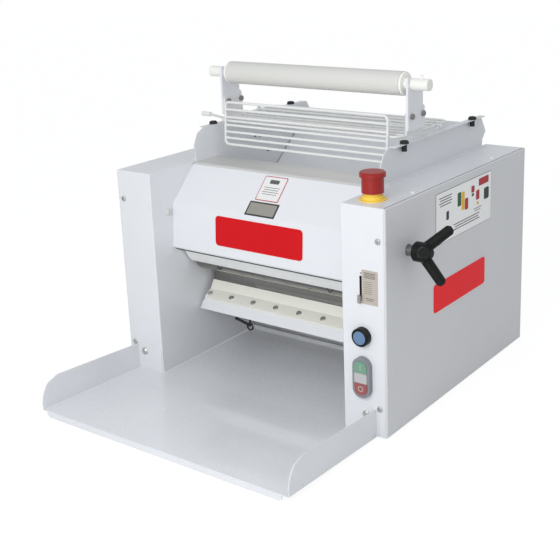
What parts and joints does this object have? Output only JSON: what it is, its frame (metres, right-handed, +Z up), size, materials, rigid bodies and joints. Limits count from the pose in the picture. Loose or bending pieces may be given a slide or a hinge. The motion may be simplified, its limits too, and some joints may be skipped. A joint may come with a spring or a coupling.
{
  "type": "countertop dough sheeter",
  "caption": "White countertop dough sheeter with a wire-guarded hopper, sheeting rollers, front tray, gap handle and a removable roller on brackets",
  "frame": {"origin": "bottom centre of the overall box, on the table", "axes": "X right seen from the front, Y to the back, Z up"},
  "size_m": [0.6306, 0.74, 0.5587],
  "materials": {
    "white_paint": "gloss",
    "coated_wire": "gloss",
    "bracket_steel": "gloss",
    "roller_chrome": "polished",
    "plain_steel": "satin",
    "gear_steel": "satin",
    "zinc_screws": "satin",
    "bronze": "satin",
    "cast_alloy": "matte",
    "motor_paint": "satin",
    "black_rubber": "matte",
    "black_plastic": "matte",
    "grey_plastic": "matte",
    "cream_nylon": "matte",
    "ivory_board": "matte",
    "red_plastic": "gloss",
    "yellow_plastic": "gloss",
    "blue_plastic": "gloss",
    "green_plastic": "gloss"
  },
  "bodies": {
    "frame": {"left_housing": "white_paint", "right_housing": "white_paint", "left_cover": "white_paint", "right_cover": "white_paint", "tray": "white_paint", "hood": "white_paint", "left_hopper_wall": "white_paint", "right_hopper_wall": "white_paint", "hopper_ramp": "white_paint", "scraper_bed": "white_paint", "back_panel": "white_paint", "splash_wall": "white_paint", "base_plate": "white_paint", "scraper_strip": "white_paint", "left_side_plate": "plain_steel", "right_side_plate": "plain_steel", "tie_bars": "plain_steel", "scraper_springs": "plain_steel", "pointer_guide": "plain_steel", "feed_strip": "plain_steel", "tray_bolts": "zinc_screws", "bearing_bushes": "bronze", "motor_saddle": "cast_alloy", "motor": "motor_paint", "rubber_feet": "black_rubber", "bumpers": "black_rubber", "v_belt": "black_rubber", "blue_button_bezel": "black_plastic", "contactor": "black_plastic", "cable_gland": "black_plastic", "interlock_sensor": "black_plastic", "double_button_bezel": "grey_plastic", "scraper_board": "ivory_board", "estop_base": "yellow_plastic"},
    "rear_roller_spin": {"rear_roller": "roller_chrome", "rear_roller_gear": "gear_steel", "bull_gear": "gear_steel"},
    "front_bearings": {"bearing_blocks": "plain_steel"},
    "front_roller_spin": {"front_roller": "roller_chrome", "front_roller_gear": "gear_steel"},
    "counter_drive": {"counter_shaft": "plain_steel", "counter_pulley": "cast_alloy"},
    "motor_drive": {"motor_shaft": "plain_steel", "motor_pulley": "cast_alloy"},
    "gap_handle": {"adjusting_shaft": "plain_steel", "scroll_discs": "plain_steel", "three_arm_handle": "black_plastic"},
    "pointer": {"gap_pointer": "plain_steel"},
    "guard": {"wire_guard": "coated_wire", "roller_brackets": "bracket_steel", "bracket_bolts": "zinc_screws", "guard_magnet": "coated_wire"},
    "roller_shaft": {"nylon_shaft": "cream_nylon"},
    "roller_sleeve": {"nylon_sleeve": "cream_nylon", "sleeve_plugs": "cream_nylon"},
    "estop": {"estop_head": "red_plastic"},
    "blue_key": {"blue_button": "blue_plastic"},
    "start_key": {"start_button": "green_plastic"},
    "stop_key": {"stop_button": "red_plastic"}
  },
  "joints": [
    {"name": "rear_roller_turn", "type": "hinge", "parent": "frame", "child": "rear_roller_spin", "pos_m": [-0.031, 0.05719, 0.14823], "axis": [1, 0, 0], "continuous": true},
    {"name": "front_roller_gap", "type": "slide", "parent": "frame", "child": "front_bearings", "axis": [0, -0.6157, 0.788], "range_m": [0, 0.006]},
    {"name": "front_roller_turn", "type": "hinge", "parent": "front_bearings", "child": "front_roller_spin", "pos_m": [-0.031, 0.00301, 0.21757], "axis": [1, 0, 0], "continuous": true},
    {"name": "counter_shaft_turn", "type": "hinge", "parent": "frame", "child": "counter_drive", "pos_m": [-0.276, 0.18718, 0.17115], "axis": [1, 0, 0], "continuous": true},
    {"name": "motor_shaft_turn", "type": "hinge", "parent": "frame", "child": "motor_drive", "pos_m": [-0.231, 0.292, 0.09], "axis": [1, 0, 0], "continuous": true},
    {"name": "gap_handle_turn", "type": "hinge", "parent": "frame", "child": "gap_handle", "pos_m": [-0.031, -0.06348, 0.30268], "axis": [-1, 0, 0], "range_deg": [0, 210]},
    {"name": "pointer_slide", "type": "slide", "parent": "frame", "child": "pointer", "axis": [0, 0, 1], "range_m": [0, 0.033]},
    {"name": "guard_hinge", "type": "hinge", "parent": "frame", "child": "guard", "pos_m": [-0.031, 0.1876, 0.452], "axis": [-1, 0, 0], "range_deg": [0, 105]},
    {"name": "roller_lift", "type": "slide", "parent": "guard", "child": "roller_shaft", "axis": [0, 0, 1], "range_m": [0, 0.03]},
    {"name": "sleeve_turn", "type": "hinge", "parent": "roller_shaft", "child": "roller_sleeve", "pos_m": [-0.031, 0.092, 0.538], "axis": [1, 0, 0], "continuous": true},
    {"name": "estop_press", "type": "slide", "parent": "frame", "child": "estop", "axis": [0, 0, -1], "range_m": [0, 0.004], "stiffness_N_per_m": 900, "springref_m": -0.002},
    {"name": "blue_press", "type": "slide", "parent": "frame", "child": "blue_key", "axis": [0, 1, 0], "range_m": [0, 0.004], "stiffness_N_per_m": 300, "springref_m": -0.002},
    {"name": "start_press", "type": "slide", "parent": "frame", "child": "start_key", "axis": [0, 1, 0], "range_m": [0, 0.003], "stiffness_N_per_m": 300, "springref_m": -0.002},
    {"name": "stop_press", "type": "slide", "parent": "frame", "child": "stop_key", "axis": [0, 1, 0], "range_m": [0, 0.003], "stiffness_N_per_m": 300, "springref_m": -0.002}
  ],
  "couplings": [
    {"joint": "front_roller_turn", "follows": "rear_roller_turn", "ratio": -1},
    {"joint": "counter_shaft_turn", "follows": "rear_roller_turn", "ratio": -4.8667},
    {"joint": "motor_shaft_turn", "follows": "rear_roller_turn", "ratio": -15.99},
    {"joint": "gap_handle_turn", "follows": "front_roller_gap", "rad_per_m": 610.87},
    {"joint": "pointer_slide", "follows": "front_roller_gap", "ratio": 5.4978}
  ]
}
